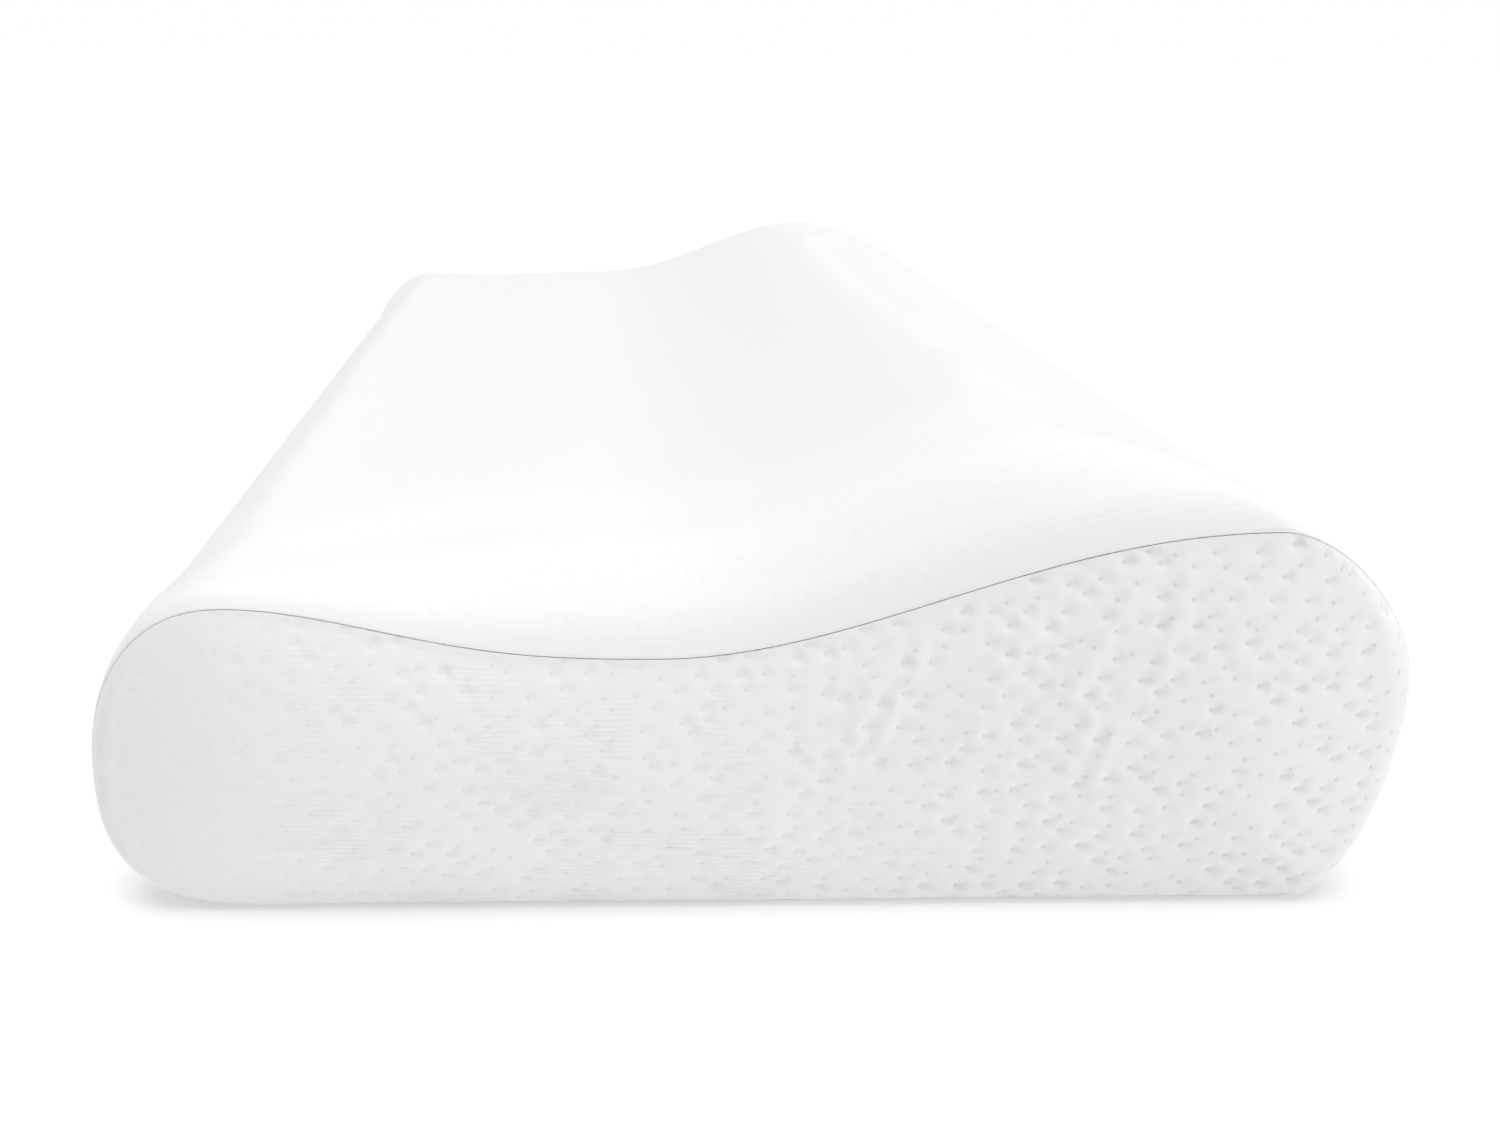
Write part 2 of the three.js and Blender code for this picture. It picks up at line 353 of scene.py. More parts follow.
def grid_mesh(name, grid, flat_turn=0):
    """A closed mesh from a grid's rings. `flat_turn` is what one turn round adds to a flat place."""
    around = len(grid.rings[0])
    points = np.vstack(grid.rings)
    flats = np.vstack(grid.flats)
    ring = np.arange(len(grid.rings) - 1)[:, None] * around
    here = np.arange(around)
    beside = (here + 1) % around
    quads = np.stack([ring + here, ring + around + here, ring + around + beside, ring + beside], axis=-1)
    quads = quads.reshape(-1, 4)
    last_cap = here[::-1] + (len(grid.rings) - 1) * around
    mesh = bpy.data.meshes.new(name)
    mesh.from_pydata((points * MM).tolist(), [], quads.tolist())
    work = bmesh.new()
    work.from_mesh(mesh)
    work.verts.ensure_lookup_table()
    for cap in (here, last_cap):
        close_slit(work, [work.verts[int(index)] for index in cap])
    work.to_mesh(mesh)
    work.free()
    place_flats(mesh, flats * MM, around, flat_turn * MM)
    for share_name, shares in (("dimple_share", grid.dimples), ("rib_share", grid.ribs)):
        attribute = mesh.attributes.new(share_name, "FLOAT", "POINT")
        attribute.data.foreach_set("value", np.concatenate(shares).astype(np.float32))
    mesh.polygons.foreach_set("use_smooth", np.ones(len(mesh.polygons), bool))
    mesh.update()
    return mesh


def close_slit(work, cap):
    """Closes the narrow slit that a grid's first or last ring leaves, walking along both its banks."""
    start = max(range(len(cap)), key=lambda index: cap[index].co.x)
    cap = cap[start:] + cap[:start]
    left, right = 1, len(cap) - 1
    work.faces.new((cap[0], cap[left], cap[right]))
    while right - left > 1:
        if cap[left + 1].co.x > cap[right - 1].co.x:
            work.faces.new((cap[left], cap[left + 1], cap[right]))
            left += 1
        else:
            work.faces.new((cap[left], cap[right - 1], cap[right]))
            right -= 1


def place_flats(mesh, flats, around, turn):
    """Keeps each point's place on the flat cloth, for the dimples and as a UV map for the knit."""
    spots = np.column_stack([flats, np.zeros(len(flats))])
    attribute = mesh.attributes.new("flat_place", "FLOAT_VECTOR", "POINT")
    attribute.data.foreach_set("vector", spots.astype(np.float32).ravel())
    corners = np.zeros(len(mesh.loops), np.int32)
    mesh.loops.foreach_get("vertex_index", corners)
    starts = np.zeros(len(mesh.polygons), np.int32)
    totals = np.zeros(len(mesh.polygons), np.int32)
    mesh.polygons.foreach_get("loop_start", starts)
    mesh.polygons.foreach_get("loop_total", totals)
    station = corners % around
    low = np.repeat(np.minimum.reduceat(station, starts), totals)
    high = np.repeat(np.maximum.reduceat(station, starts), totals)
    wraps = (low == 0) & (high == around - 1) & (station == 0)
    uv = flats[corners]
    uv[wraps, 0] += turn
    mesh.uv_layers.new(name="knit").data.foreach_set("uv", uv.astype(np.float32).ravel())


def new_piece(name, mesh, *materials):
    piece = bpy.data.objects.new(name, mesh)
    bpy.context.scene.collection.objects.link(piece)
    for material in materials:
        mesh.materials.append(material)
    return piece


# Wrap

def wrap_end(stations):
    """The near end of the wrap: the hidden back of the end, the seam, the rounded edge, the lead-in."""
    grid = Grid()
    depth = CLOTH + CLEARANCE
    seam = stations.past_seam(0)

    def flat_at(turn):
        along = stations.radius * (1 - np.radians(turn) * np.ones(stations.count))
        return np.column_stack([wrap_columns(stations), along])

    for scale in BACK_SCALES:
        grid.add(stations.face(scale, depth), flat_at(FACE_TURN), 0)
    for share in INNER_SHARES:
        turn = FACE_TURN + (seam - FACE_TURN) * share
        grid.add(stations.edge(turn, depth), flat_at(turn), 0)
    for arc, roll_depth in seam_roll(-1, WRAP_ROLL):
        turn = stations.past_seam(arc)
        grid.add(stations.edge(turn, roll_depth - SEAM_LIP), flat_at(turn), 0)
    lip_end = stations.past_seam(-SEAM_GAP / 2 - WRAP_ROLL - LIP_WIDTH)
    for share in np.linspace(0, 1, EDGE_RINGS + 1):
        turn = lip_end * (1 - share)
        dimples = min(share * WRAP_FADE, 1) * WRAP_KNIT[0]
        grid.add(stations.edge(turn, 0), flat_at(turn), dimples, WRAP_KNIT[1])
    even_from = EDGE_RINGS * LENGTH / WRAP_RINGS
    for share in (1 / 3, 2 / 3):
        distance = stations.radius + (even_from - stations.radius) * share
        grid.add(*cover_ring(stations, distance), *WRAP_KNIT)
    return grid


def wrap_columns(stations):
    """Where each station lies round the flat wrap."""
    return np.arange(stations.count) * COLUMN / 2


def cover_ring(stations, distance):
    point = stations.cover_at(distance)
    along = distance * np.ones(stations.count)
    points = np.column_stack([point[:, 0], along - LENGTH / 2, point[:, 1]])
    return points, np.column_stack([wrap_columns(stations), along])


def wrap_grid(stations):
    grid = wrap_end(stations)
    far = grid.mirrored(flat_length=LENGTH)
    for ring in range(EDGE_RINGS, WRAP_RINGS - EDGE_RINGS + 1):
        distance = LENGTH * ring / WRAP_RINGS
        points, flat = cover_ring(stations, min(distance, LENGTH - distance))
        points[:, 1] = distance - LENGTH / 2
        flat[:, 1] = distance
        grid.add(points, flat, *WRAP_KNIT)
    grid.extend(far)
    return grid


# Settling

def uneven(grid):
    """A slow random swell over a grid, from -1 to 1, the same on each run."""
    chance = np.random.default_rng(SETTLE_SEED)
    around = np.linspace(0, math.tau, len(grid.rings[0]), endpoint=False)
    along = np.linspace(0, 1, len(grid.rings))[:, None]
    rise = np.zeros((len(grid.rings), len(grid.rings[0])))
    for turns in SWELL_TURNS:
        phase = chance.uniform(0, math.tau)
        drift = chance.uniform(-SWELL_DRIFT, SWELL_DRIFT)
        rise += SWELL_HEIGHT * np.sin(turns * around + phase + drift * along)
    return np.clip(rise, -1, 1)


def cage_rows(grid, hidden):
    """The rings that the simulated cloth has: at each end the slit and the bottom of the roll into the
    seam, both hidden, and every second ring between the seams."""
    last = len(grid.rings) - 1
    between = list(range(hidden, last - hidden + 1, CAGE_STEP))
    roll = hidden - len(ROLL_TURNS)
    return [0, roll] + between + [last - roll, last]


def settle(grid, hidden):
    """Moves the wrap's rings to where the cloth comes to rest on its filling, held along the seams and
    underneath. The `hidden` rings at each end stay where they are, and near them the rest moves less."""
    points = np.array(grid.rings)
    rows = cage_rows(grid, hidden)
    columns = np.arange(0, points.shape[1], CAGE_STEP)
    form = points[np.ix_(rows, columns)]
    held = np.zeros(form.shape[:2], bool)
    held[:HELD_ROWS] = True
    held[-HELD_ROWS:] = True
    held |= form[:, :, 2] < LYING_BELOW
    cage = Grid()
    for ring in form:
        cage.add(ring, ring[:, :2], 0)
    mesh = grid_mesh("cage", cage)
    piece = new_piece("cage", mesh)
    normals = np.zeros(len(mesh.vertices) * 3)
    mesh.vertex_normals.foreach_get("vector", normals)
    depth = SETTLE_FROM + SETTLE_UNEVEN * uneven(cage)
    start = form - normals.reshape(form.shape) * (depth * ~held)[:, :, None]
    mesh.vertices.foreach_set("co", (start * MM).ravel())
    move = simulate(piece, held).reshape(form.shape) / MM - form
    length = np.linalg.norm(move, axis=2)[:, :, None]
    move *= SETTLE_CAP / np.maximum(length, SETTLE_CAP)
    move[held] = 0
    free = np.clip((LENGTH / 2 - np.abs(points[:, :, 1]) - HIGH_EDGE_RADIUS) / SETTLE_EASE, 0, 1)
    eased = free ** 2 * (3 - 2 * free)
    points += spread(move, rows, points.shape[:2]) * eased[:, :, None]
    points[:, :, 2] = np.maximum(points[:, :, 2], 0)
    grid.rings = list(points)


def simulate(piece, held):
    """Runs the cloth simulation and gives where its points end, in metres."""
    pins = piece.vertex_groups.new(name="held")
    pins.add([int(index) for index in np.flatnonzero(held.ravel())], 1, "REPLACE")
    cloth = piece.modifiers.new("settling", "CLOTH")
    cloth.settings.vertex_group_mass = "held"
    cloth.settings.use_pressure = True
    cloth.settings.uniform_pressure_force = SETTLE_PRESSURE
    cloth.settings.effector_weights.gravity = 0
    cloth.point_cache.frame_end = SETTLE_FRAMES
    for frame_number in range(1, SETTLE_FRAMES + 1):
        bpy.context.scene.frame_set(frame_number)
    done = piece.evaluated_get(bpy.context.evaluated_depsgraph_get()).data
    places = np.zeros(len(done.vertices) * 3)
    done.vertices.foreach_get("co", places)
    mesh = piece.data
    bpy.data.objects.remove(piece)
    bpy.data.meshes.remove(mesh)
    bpy.context.scene.frame_set(1)
    return places


def spread(move, rows, shape):
    """The cage's movement on every ring and station, smoothed between its own."""
    stations = np.arange(shape[1])
    closed = np.concatenate([move, move[:, :1]], axis=1)
    turns = np.arange(closed.shape[1]) * CAGE_STEP
    across = np.stack([
        [np.interp(stations, turns, line[:, axis]) for axis in range(3)] for line in closed
    ])
    whole = np.zeros((*shape, 3))
    for axis in range(3):
        for station in stations:
            whole[:, station, axis] = np.interp(np.arange(shape[0]), rows, across[:, axis, station])
    inner = slice(rows[HELD_ROWS - 1] + 1, rows[-HELD_ROWS])
    for _ in range(2):
        around = (np.roll(whole, 1, axis=1) + 2 * whole + np.roll(whole, -1, axis=1)) / 4
        along = (np.roll(around, 1, axis=0) + 2 * around + np.roll(around, -1, axis=0)) / 4
        whole[inner] = along[inner]
    return whole


# End panels

def ridge_rise(x, z):
    """How far the near panel's soft ridges stand out at a place on its face."""
    rise = np.zeros_like(x)
    for ridge in RIDGES:
        start, stop = np.array(ridge["from"]), np.array(ridge["to"])
        run = stop - start
        share = np.clip(((x - start[0]) * run[0] + (z - start[1]) * run[1]) / (run @ run), 0, 1)
        away = np.hypot(x - start[0] - share * run[0], z - start[1] - share * run[1])
        rise += ridge["height"] * np.exp(-(away / ridge["width"]) ** 2)
    return rise


def gather_rise(x, below_seam):
    """Small upright folds that the seam gathers into the cloth just below it."""
    plainness = np.exp(-((x - GATHER_MIDDLE) / GATHER_SPREAD) ** 2)
    sway = GATHER_SWAY * np.sin(x / SWAY_LENGTH)
    fold = np.sin(math.tau * (x + sway) / GATHER_PITCH)
    return GATHER_HEIGHT * plainness * fold * np.exp(-(below_seam / GATHER_LENGTH) ** 2)


def plainness(x, z):
    """The shares of the dimples and of the ribs in a panel's cloth."""
    ribs = np.interp(x, PLAINNESS_X, PANEL_RIBS_AT) * np.interp(z, RIBS_FADE_Z, (1, RIBS_ABOVE))
    return np.interp(x, PLAINNESS_X, PANEL_DIMPLES_AT), ribs


def panel_grid(stations, is_near):
    """An end panel: its crowned face, the rounded rim, the seam and its inside."""
    grid = Grid()
    rim = stations.edge(FACE_TURN, 0)

    def flat_at(turn):
        beyond = stations.radius * np.radians(FACE_TURN - turn * np.ones(stations.count))
        return rim[:, [0, 2]] + stations.out * beyond[:, None]

    for scale in PANEL_SCALES:
        points = stations.face(scale, 0)
        x, z = points[:, 0], points[:, 2]
        inside = 1 - scale ** RIM_STILL
        points[:, 1] -= gather_rise(x, top_at(END, x) - z) * inside
        if is_near:
            points[:, 1] -= ridge_rise(x, z) * inside
        grid.add(points, np.column_stack([x, z]), *plainness(x, z))
    roll_end = stations.past_seam(SEAM_GAP / 2 + PANEL_ROLL)
    dimples, ribs = plainness(rim[:, 0], rim[:, 2])
    for share in RIM_SHARES:
        turn = FACE_TURN + (roll_end - FACE_TURN) * share
        left = min((1 - share) * PANEL_FADE, 1)
        grid.add(stations.edge(turn, 0), flat_at(turn), dimples * left, ribs)
    for arc, depth in reversed(seam_roll(1, PANEL_ROLL)):
        turn = stations.past_seam(arc)
        grid.add(stations.edge(turn, depth), flat_at(turn), 0)
    seam = stations.past_seam(SEAM_GAP / 2)
    for share in INNER_SHARES:
        turn = seam + (FACE_TURN - seam) * share
        grid.add(stations.edge(turn, CLOTH), flat_at(turn), 0)
    for scale in reversed(BACK_SCALES):
        points = stations.face(scale, CLOTH)
        grid.add(points, points[:, [0, 2]], 0)
    return grid if is_near else grid.mirrored()


# Seam

def seam_path(name, stations, side):
    """The line of the seam at one end, side -1 for the near one, with the way out of the pillow there."""
    points = stations.edge(stations.seam_turn, STITCH_DEPTH)
    turn = np.radians(stations.seam_turn)
    sideways = stations.out * np.cos(turn)[:, None]
    outward = np.column_stack([sideways[:, 0], -np.sin(turn), sideways[:, 1]])
    flip = [1, -side, 1]
    mesh = bpy.data.meshes.new(name)
    edges = [(place, (place + 1) % stations.count) for place in range(stations.count)]
    mesh.from_pydata((points * flip * MM).tolist(), edges, [])
    attribute = mesh.attributes.new("outward", "FLOAT_VECTOR", "POINT")
    attribute.data.foreach_set("vector", (outward * flip).astype(np.float32).ravel())
    return mesh


# Materials

ADD = {"operation": "ADD"}
SUBTRACT = {"operation": "SUBTRACT"}
MULTIPLY = {"operation": "MULTIPLY"}
DIVIDE = {"operation": "DIVIDE"}
MULTIPLY_ADD = {"operation": "MULTIPLY_ADD"}


def colour(code):
    """An sRGB hex code as linear red, green, blue and alpha."""
    parts = [int(code[place:place + 2], 16) / 255 for place in (1, 3, 5)]
    linear = [part / 12.92 if part <= 0.04045 else ((part + 0.055) / 1.055) ** 2.4 for part in parts]
    return (*linear, 1)


def add_node(tree, kind, settings=None, **links):
    """Adds a node with its settings. A link's name is the socket's, with _ for a space or its number
    after an s, and its value is another node's output, or a plain value."""
    node = tree.nodes.new(kind)
    for name, value in (settings or {}).items():
        setattr(node, name, value)
    for name, value in links.items():
        is_number = name[0] == "s" and name[1:].isdigit()
        socket = node.inputs[int(name[1:]) if is_number else name.replace("_", " ")]
        if isinstance(value, bpy.types.NodeSocket):
            tree.links.new(value, socket)
        else:
            socket.default_value = value
    return node


def dimple_cells(tree, flat_place, column, row, metric="EUCLIDEAN"):
    """Cells round the staggered dimples, from a place on the flat cloth: the texture node that has each
    dimple's distance, in units of the space between two neighbours, and its own random colour."""
    split = add_node(tree, "ShaderNodeSeparateXYZ", Vector=flat_place)
    columns = add_node(tree, "ShaderNodeMath", DIVIDE, s0=split.outputs["X"], s1=column).outputs[0]
    rows = add_node(tree, "ShaderNodeMath", DIVIDE, s0=split.outputs["Y"], s1=row).outputs[0]
    together = add_node(tree, "ShaderNodeMath", ADD, s0=rows, s1=columns).outputs[0]
    apart = add_node(tree, "ShaderNodeMath", SUBTRACT, s0=rows, s1=columns).outputs[0]
    rising = add_node(tree, "ShaderNodeMath", MULTIPLY, s0=together, s1=0.5).outputs[0]
    falling = add_node(tree, "ShaderNodeMath", MULTIPLY, s0=apart, s1=0.5).outputs[0]
    slanted = add_node(tree, "ShaderNodeCombineXYZ", X=rising, Y=falling).outputs[0]
    return add_node(tree, "ShaderNodeTexVoronoi", {"voronoi_dimensions": "2D", "distance": metric},
                    Vector=slanted, Scale=1.0, Randomness=DIMPLE_SCATTER)


def rib_relief(tree, place):
    """Height of the knit's fine ribs in millimetres. They stop and start with a small step from one patch
    between dimples to the next, and come and go over larger areas."""
    split = add_node(tree, "ShaderNodeSeparateXYZ", Vector=place)
    between = add_node(tree, "ShaderNodeVectorMath", ADD, s0=place, s1=(COLUMN * MM, 0, 0)).outputs[0]
    patches = dimple_cells(tree, between, RIB_COLUMN * MM, ROW * MM, "MANHATTAN").outputs["Color"]
    chance = add_node(tree, "ShaderNodeSeparateColor", Color=patches).outputs
    slope = add_node(tree, "ShaderNodeMath", MULTIPLY, s0=split.outputs["X"], s1=RIB_SLOPE).outputs[0]
    level = add_node(tree, "ShaderNodeMath", ADD, s0=split.outputs["Y"], s1=slope).outputs[0]
    courses = add_node(tree, "ShaderNodeMath", DIVIDE, s0=level, s1=COURSE * MM).outputs[0]
    shifted = add_node(tree, "ShaderNodeMath", ADD, s0=courses, s1=chance[0]).outputs[0]
    angle = add_node(tree, "ShaderNodeMath", MULTIPLY, s0=shifted, s1=math.tau).outputs[0]
    wave = add_node(tree, "ShaderNodeMath", {"operation": "SINE"}, s0=angle).outputs[0]
    height = add_node(tree, "ShaderNodeMath", MULTIPLY_ADD,
                      s0=chance[2], s1=RIB_HEIGHT, s2=RIB_HEIGHT / 2).outputs[0]
    step = add_node(tree, "ShaderNodeMath", MULTIPLY, s0=chance[1], s1=RIB_STEP).outputs[0]
    patch = add_node(tree, "ShaderNodeMath", MULTIPLY_ADD, s0=wave, s1=height, s2=step).outputs[0]
    areas = add_node(tree, "ShaderNodeTexNoise", {"noise_dimensions": "2D"},
                     Vector=place, Scale=1 / (RIB_PATCH * MM)).outputs[0]
    plain = add_node(tree, "ShaderNodeMapRange", s0=areas, s1=RIB_AREAS[0], s2=RIB_AREAS[1],
                     s3=FAINT_RIBS, s4=1.0).outputs[0]
    return add_node(tree, "ShaderNodeMath", MULTIPLY, s0=patch, s1=plain).outputs[0]


def dimple_prick(tree, place):
    """How strong the tight prick in a dimple's middle is, from 1 there to 0 a millimetre away. It sets the
    prick's bump and its painted shade.
    """
    distance = dimple_cells(tree, place, COLUMN * MM, ROW * MM).outputs["Distance"]
    fall = add_node(tree, "ShaderNodeMath", MULTIPLY, s0=distance, s1=-SPACING / PRICK_REACH).outputs[0]
    sharp = add_node(tree, "ShaderNodeMath", {"operation": "EXPONENT"}, s0=fall).outputs[0]
    share = add_node(tree, "ShaderNodeAttribute", {"attribute_name": "dimple_share"}).outputs["Fac"]
    return add_node(tree, "ShaderNodeMath", MULTIPLY, s0=sharp, s1=share).outputs[0]


def knit_material():
    """White padded jacquard knit of matt polyester yarn: fine ribs, a tight prick in each dimple, painted
    shade in grey at each prick, and a soft bloom of the yarn's fuzz at grazing angles."""
    material = bpy.data.materials.new("white padded jacquard knit")
    material.use_nodes = True
    tree = material.node_tree
    tree.nodes.clear()
    place = add_node(tree, "ShaderNodeUVMap", {"uv_map": "knit"}).outputs["UV"]
    rib_share = add_node(tree, "ShaderNodeAttribute", {"attribute_name": "rib_share"}).outputs["Fac"]
    ribs = add_node(tree, "ShaderNodeMath", MULTIPLY, s0=rib_relief(tree, place), s1=rib_share).outputs[0]
    prick = dimple_prick(tree, place)
    relief = add_node(tree, "ShaderNodeMath", MULTIPLY_ADD, s0=prick, s1=-PRICK_DEPTH, s2=ribs).outputs[0]
    bump = add_node(tree, "ShaderNodeBump", Strength=1.0, Distance=MM, Height=relief).outputs[0]
    # painted shade: the prick darkens the knit's colour towards grey in each dimple's middle
    shade = add_node(tree, "ShaderNodeMix", {"data_type": "RGBA"},
                     s0=prick, s6=colour(COVER_WHITE), s7=colour(PRICK_PAINTED_SHADE)).outputs[2]
    surface = add_node(tree, "ShaderNodeBsdfPrincipled", Base_Color=shade, Normal=bump)
    surface.inputs["Roughness"].default_value = COVER_ROUGHNESS
    surface.inputs["Sheen Weight"].default_value = COVER_SHEEN
    surface.inputs["Specular IOR Level"].default_value = COVER_SPECULAR
    add_node(tree, "ShaderNodeOutputMaterial", Surface=surface.outputs[0])
    return material


def thread_material():
    """White spun polyester sewing thread: smoother than the knit, with a faint gloss."""
    material = bpy.data.materials.new("white spun polyester thread")
    material.use_nodes = True
    tree = material.node_tree
    surface = tree.nodes["Principled BSDF"]
    place = add_node(tree, "ShaderNodeTexCoord").outputs["Object"]
    twist = add_node(tree, "ShaderNodeTexWave", {"bands_direction": "DIAGONAL"},
                     Vector=place, Scale=1 / (THREAD_TWIST * MM))
    bump = add_node(tree, "ShaderNodeBump", Strength=TWIST_STRENGTH, Distance=TWIST_DEPTH * MM,
                    Height=twist.outputs["Fac"])
    tree.links.new(bump.outputs[0], surface.inputs["Normal"])
    surface.inputs["Base Color"].default_value = colour(THREAD_WHITE)
    surface.inputs["Roughness"].default_value = THREAD_ROUGHNESS
    return material


# Knit dimples and seam stitches, by Geometry Nodes

def new_tree(name, sockets):
    """A Geometry Nodes tree with a geometry input, these named inputs, and a geometry output."""
    tree = bpy.data.node_groups.new(name, "GeometryNodeTree")
    tree.interface.new_socket("Geometry", in_out="INPUT", socket_type="NodeSocketGeometry")
    for socket_name, kind in sockets.items():
        tree.interface.new_socket(socket_name, in_out="INPUT", socket_type=kind)
    tree.interface.new_socket("Geometry", in_out="OUTPUT", socket_type="NodeSocketGeometry")
    return tree, add_node(tree, "NodeGroupInput").outputs


def finish_tree(tree, geometry, material):
    whole = add_node(tree, "GeometryNodeRealizeInstances", Geometry=geometry).outputs[0]
    dressed = add_node(tree, "GeometryNodeSetMaterial", Geometry=whole, Material=material).outputs[0]
    add_node(tree, "NodeGroupOutput", Geometry=dressed)
    return tree


def run_tree(piece, tree, values):
    """Runs a tree on a piece with these values and keeps the result as the piece's plain mesh."""
    modifier = piece.modifiers.new(tree.name, "NODES")
    modifier.node_group = tree
    for item in tree.interface.items_tree:
        if item.in_out == "INPUT" and item.name in values:
            modifier[item.identifier] = values[item.name]
    graph = bpy.context.evaluated_depsgraph_get()
    mesh = bpy.data.meshes.new_from_object(
        piece.evaluated_get(graph), preserve_all_data_layers=True, depsgraph=graph)
    piece.modifiers.clear()
    piece.data = mesh


def dimple_tree():
    """Presses staggered dimples into a cloth, each a soft hollow with its own depth."""
    number = "NodeSocketFloat"
    tree, given = new_tree("knit dimples", {
        "Column": number, "Row": number, "Reach": number, "Depth": number, "Material": "NodeSocketMaterial",
    })
    flat = add_node(tree, "GeometryNodeInputNamedAttribute", {"data_type": "FLOAT_VECTOR"},
                    Name="flat_place").outputs[0]
    aside = [-shift * MM for shift in DIMPLE_ASIDE] + [0]
    shifted = add_node(tree, "ShaderNodeVectorMath", ADD, s0=flat, s1=aside).outputs[0]
    cells = dimple_cells(tree, shifted, given["Column"], given["Row"])
    distance = add_node(tree, "ShaderNodeMath", MULTIPLY,
                        s0=cells.outputs["Distance"], s1=SPACING * MM).outputs[0]
    reaches = add_node(tree, "ShaderNodeMath", DIVIDE, s0=distance, s1=given["Reach"]).outputs[0]
    squared = add_node(tree, "ShaderNodeMath", MULTIPLY, s0=reaches, s1=reaches).outputs[0]
    turned = add_node(tree, "ShaderNodeMath", MULTIPLY, s0=squared, s1=-1.0).outputs[0]
    share = add_node(tree, "ShaderNodeMath", {"operation": "EXPONENT"}, s0=turned).outputs[0]
    chance = add_node(tree, "FunctionNodeSeparateColor", Color=cells.outputs["Color"]).outputs[0]
    variety = add_node(tree, "ShaderNodeMath", MULTIPLY_ADD,
                       s0=chance, s1=DEPTH_VARIETY, s2=SHALLOWEST).outputs[0]
    varied = add_node(tree, "ShaderNodeMath", MULTIPLY, s0=share, s1=variety).outputs[0]
    allowed = add_node(tree, "GeometryNodeInputNamedAttribute", {"data_type": "FLOAT"},
                       Name="dimple_share").outputs[0]
    pressed = add_node(tree, "ShaderNodeMath", MULTIPLY, s0=varied, s1=allowed).outputs[0]
    deep = add_node(tree, "ShaderNodeMath", MULTIPLY, s0=given["Depth"], s1=-1.0).outputs[0]
    fall = add_node(tree, "ShaderNodeMath", MULTIPLY, s0=pressed, s1=deep).outputs[0]
    outward = add_node(tree, "GeometryNodeInputNormal").outputs[0]
    offset = add_node(tree, "ShaderNodeVectorMath", {"operation": "SCALE"}, s0=outward, Scale=fall).outputs[0]
    moved = add_node(tree, "GeometryNodeSetPosition", Geometry=given["Geometry"], Offset=offset).outputs[0]
    return finish_tree(tree, moved, given["Material"])


def stitch_tree():
    """Lays a short straight thread across the seam at each step along it."""
    number = "NodeSocketFloat"
    tree, given = new_tree("seam stitches", {
        "Pitch": number, "Thread radius": number, "Length": number, "Material": "NodeSocketMaterial",
    })
    path = add_node(tree, "GeometryNodeMeshToCurve", Mesh=given["Geometry"]).outputs[0]
    steps = add_node(tree, "GeometryNodeResampleCurve", {"mode": "LENGTH"},
                     Curve=path, Length=given["Pitch"]).outputs[0]
    half = add_node(tree, "ShaderNodeMath", MULTIPLY, s0=given["Length"], s1=0.5).outputs[0]
    back = add_node(tree, "ShaderNodeMath", MULTIPLY, s0=half, s1=-1.0).outputs[0]
    start = add_node(tree, "ShaderNodeCombineXYZ", X=back).outputs[0]
    stop = add_node(tree, "ShaderNodeCombineXYZ", X=half).outputs[0]
    line = add_node(tree, "GeometryNodeCurvePrimitiveLine", Start=start, End=stop).outputs[0]
    ring = add_node(tree, "GeometryNodeCurvePrimitiveCircle",
                    Resolution=8, Radius=given["Thread radius"]).outputs[0]
    thread = add_node(tree, "GeometryNodeCurveToMesh",
                      Curve=line, Profile_Curve=ring, Fill_Caps=True).outputs[0]
    outward = add_node(tree, "GeometryNodeInputNamedAttribute", {"data_type": "FLOAT_VECTOR"},
                       Name="outward").outputs[0]
    tangent = add_node(tree, "GeometryNodeInputTangent").outputs[0]
    upright = add_node(tree, "FunctionNodeAlignRotationToVector", {"axis": "Z"}, Vector=outward).outputs[0]
    turned = add_node(tree, "FunctionNodeAlignRotationToVector", {"axis": "Y", "pivot_axis": "Z"},
                      Rotation=upright, Vector=tangent).outputs[0]
    placed = add_node(tree, "GeometryNodeInstanceOnPoints",
                      Points=steps, Instance=thread, Rotation=turned).outputs[0]
    return finish_tree(tree, placed, given["Material"])


# Studio

def camera():
    """A camera 0.3 m in front of the near end, seeing the pillow from a little above."""
    yaw, pitch, roll = np.radians(CAMERA_TURN)
    ahead = Vector((math.sin(yaw) * math.cos(pitch), math.cos(yaw) * math.cos(pitch), -math.sin(pitch)))
    level = Vector((math.cos(yaw), -math.sin(yaw), 0))
    upright = level.cross(ahead)
    right = level * math.cos(roll) + upright * math.sin(roll)
    up = upright * math.cos(roll) - level * math.sin(roll)
    lens = bpy.data.cameras.new("camera")
    lens.sensor_width = SENSOR_WIDTH
    lens.lens = LENS
    lens.shift_x, lens.shift_y = LENS_SHIFT
    lens.clip_start = CLIP_START
    seer = bpy.data.objects.new("camera", lens)
    bpy.context.scene.collection.objects.link(seer)
    turn = Matrix((right, up, -ahead)).transposed().to_4x4()
    seer.matrix_world = Matrix.Translation(CAMERA_PLACE) @ turn
    bpy.context.scene.camera = seer


def softbox(name, toward, strength, width):
    """A softbox far away, seen from the pillow in the direction `toward` and `width` degrees wide."""
    lamp = bpy.data.lights.new(name, "SUN")
    lamp.energy = strength
    lamp.angle = math.radians(width)
    light = bpy.data.objects.new(name, lamp)
    bpy.context.scene.collection.objects.link(light)
    light.rotation_euler = Vector(toward).to_track_quat("Z", "Y").to_euler()


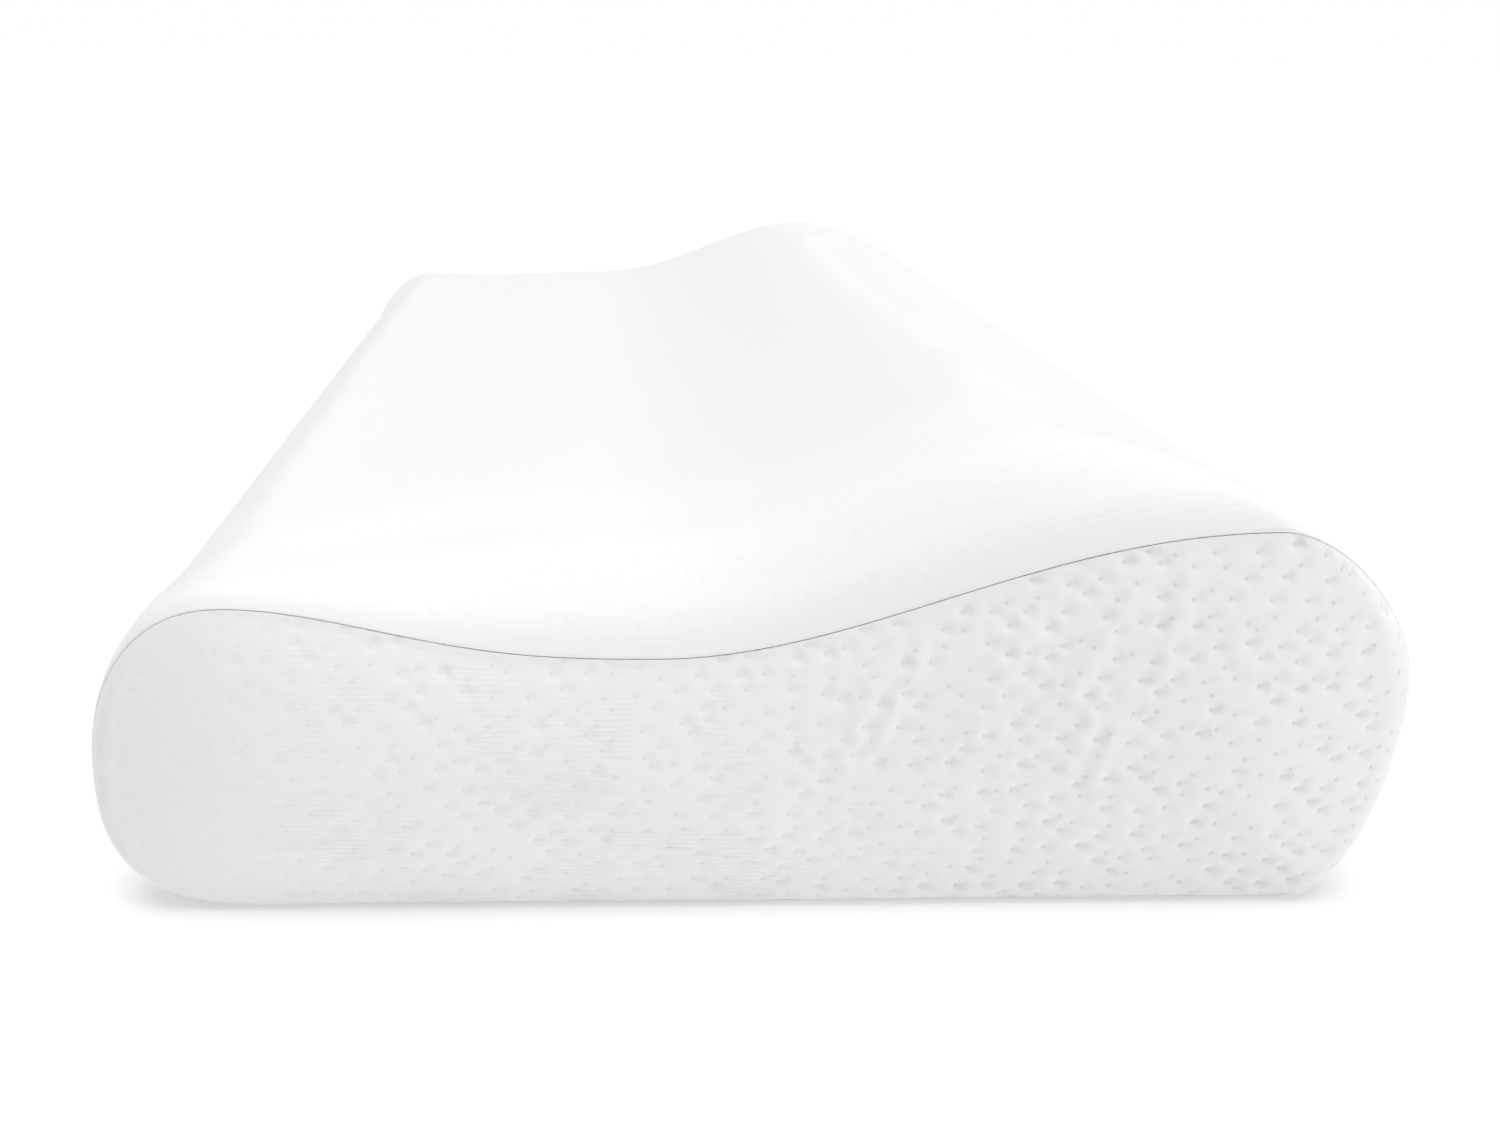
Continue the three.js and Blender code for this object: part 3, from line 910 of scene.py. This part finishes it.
def studio_walls():
    """A seamless white backdrop all round. It looks plain white, and lights the pillow from low down and
    most of all from the left."""
    world = bpy.data.worlds.new("seamless white backdrop")
    bpy.context.scene.world = world
    world.use_nodes = True
    tree = world.node_tree
    tree.nodes.clear()
    facing = add_node(tree, "ShaderNodeTexCoord").outputs["Generated"]
    split = add_node(tree, "ShaderNodeSeparateXYZ", Vector=facing)
    rise = add_node(tree, "ShaderNodeMapRange", s0=split.outputs["Z"], s1=WALL_TURNS_AT[0],
                    s2=WALL_TURNS_AT[1], s3=LOW_WALL, s4=WALL)
    side = add_node(tree, "ShaderNodeMapRange", s0=split.outputs["X"], s1=-1, s2=0, s3=LEFT_WALL, s4=0)
    both = add_node(tree, "ShaderNodeMath", ADD, s0=rise.outputs[0], s1=side.outputs[0]).outputs[0]
    seen = add_node(tree, "ShaderNodeLightPath").outputs["Is Camera Ray"]
    strength = add_node(tree, "ShaderNodeMath", {"operation": "MAXIMUM"}, s0=both, s1=seen).outputs[0]
    glow = add_node(tree, "ShaderNodeBackground", Color=(1, 1, 1, 1), Strength=strength)
    add_node(tree, "ShaderNodeOutputWorld", Surface=glow.outputs[0])


def studio_floor():
    """A plain white table with a faint painted glow, as if lit from below, so that shadows on it stay faint.
    """
    far = FLOOR_REACH
    corners = [(-far, -far, 0), (far, -far, 0), (far, far, 0), (-far, far, 0)]
    mesh = bpy.data.meshes.new("floor")
    mesh.from_pydata(corners, [], [(0, 1, 2, 3)])
    paint = bpy.data.materials.new("white table with painted glow")
    paint.use_nodes = True
    shader = paint.node_tree.nodes["Principled BSDF"]
    shader.inputs["Base Color"].default_value = colour(FLOOR_GREY)
    shader.inputs["Roughness"].default_value = 1
    shader.inputs["Specular IOR Level"].default_value = 0
    # painted light: the table glows, though no lamp lights it
    shader.inputs["Emission Color"].default_value = colour("#FFFFFF")
    shader.inputs["Emission Strength"].default_value = FLOOR_GLOW
    new_piece("floor", mesh, paint)


# Making

def wear(piece, node=None):
    """The piece rides on the pillow's one body, and may stand for a node."""
    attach(piece, "root")
    if node:
        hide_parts(node)


def make_wrap(knit, dimples):
    stations = Stations(WRAP_STATIONS)
    turn = WRAP_STATIONS * COLUMN / 2
    grid = wrap_grid(stations)
    settle(grid, HIDDEN_RINGS)
    wrap = new_piece("wrap", grid_mesh("wrap", grid, turn), knit)
    run_tree(wrap, dimples, {**DIMPLE_LATTICE, **WRAP_DIMPLES, "Material": knit})
    wear(wrap, "pillow_body")


def make_panel(name, node, is_near, knit, dimples):
    grid = panel_grid(Stations(PANEL_STATIONS), is_near)
    panel = new_piece(name, grid_mesh(name, grid), knit)
    run_tree(panel, dimples, {**DIMPLE_LATTICE, **PANEL_DIMPLES, "Material": knit})
    wear(panel, node)


def make_stitches(name, side, thread, stitches):
    piece = new_piece(name, seam_path(name, Stations(WRAP_STATIONS), side), thread)
    run_tree(piece, stitches, {**STITCH_SIZES, "Material": thread})
    wear(piece)


knit = knit_material()
dimples = dimple_tree()
make_wrap(knit, dimples)
make_panel("end_panel_near", "end_panel_front", True, knit, dimples)
make_panel("end_panel_far", "end_panel_back", False, knit, dimples)
thread = thread_material()
stitches = stitch_tree()
make_stitches("seam_thread_near", -1, thread, stitches)
make_stitches("seam_thread_far", 1, thread, stitches)

camera()
bpy.context.scene.view_settings.view_transform = "Standard"
softbox("overhead softbox", (0, 0, 1), OVERHEAD, OVERHEAD_WIDTH)
softbox("right softbox", RIGHT_TOWARD, FROM_RIGHT, RIGHT_WIDTH)
studio_walls()
studio_floor()
